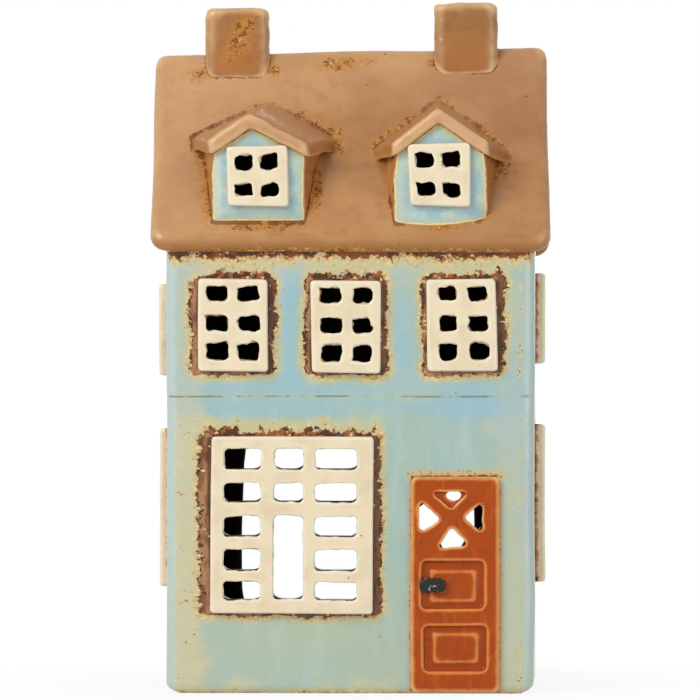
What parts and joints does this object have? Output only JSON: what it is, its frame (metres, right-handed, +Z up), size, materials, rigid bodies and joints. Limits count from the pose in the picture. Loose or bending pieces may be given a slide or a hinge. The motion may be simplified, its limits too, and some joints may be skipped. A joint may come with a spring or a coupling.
{
  "type": "tealight house",
  "caption": "Glazed slab-built ceramic town house with pierced windows, dormers and chimneys, open at the back to take a tealight that shines through.",
  "frame": {"origin": "middle of the foot, on the surface that the house stands on", "axes": "+Z up, -Y out of the front with the door, +X to the right as seen from the front"},
  "size_m": [0.1142, 0.0836, 0.2],
  "materials": {
    "glaze_blue": "glossy pale blue glaze, broken to rust brown and cream at edges",
    "glaze_brown": "glossy caramel brown glaze",
    "glaze_cream": "satin cream glaze",
    "glaze_orange": "glossy burnt orange glaze",
    "glaze_black": "glossy black glaze",
    "aluminium": "thin pressed aluminium",
    "wax": null,
    "wick": "waxed cotton braid",
    "tinned_steel": "thin tinned disc"
  },
  "bodies": {
    "house": {"floor_slab": "glaze_blue", "front_wall": "glaze_blue", "back_wall": "glaze_blue", "gable_wall_left": "glaze_blue", "gable_wall_right": "glaze_blue", "dormer_left_body": "glaze_blue", "dormer_right_body": "glaze_blue", "roof_slab_front": "glaze_brown", "roof_slab_back": "glaze_brown", "chimney_left": "glaze_brown", "chimney_right": "glaze_brown", "dormer_left_roof": "glaze_brown", "dormer_right_roof": "glaze_brown", "window_dormer_left": "glaze_cream", "window_dormer_right": "glaze_cream", "window_upper_left": "glaze_cream", "window_upper_middle": "glaze_cream", "window_upper_right": "glaze_cream", "window_large": "glaze_cream", "window_left_upper_front": "glaze_cream", "window_left_upper_back": "glaze_cream", "window_left_lower": "glaze_cream", "window_right_upper_front": "glaze_cream", "window_right_upper_back": "glaze_cream", "window_right_lower": "glaze_cream", "door_panel": "glaze_orange", "door_knob": "glaze_black"},
    "tealight": {"tealight_cup": "aluminium", "tealight_wax": "wax", "tealight_wick": "wick", "wick_foot": "tinned_steel"}
  },
  "joints": [
    {"name": "tealight_draw", "type": "slide", "parent": "house", "child": "tealight", "axis": [0, 0.766, 0.6428], "range_m": [0, 0.0914]}
  ]
}
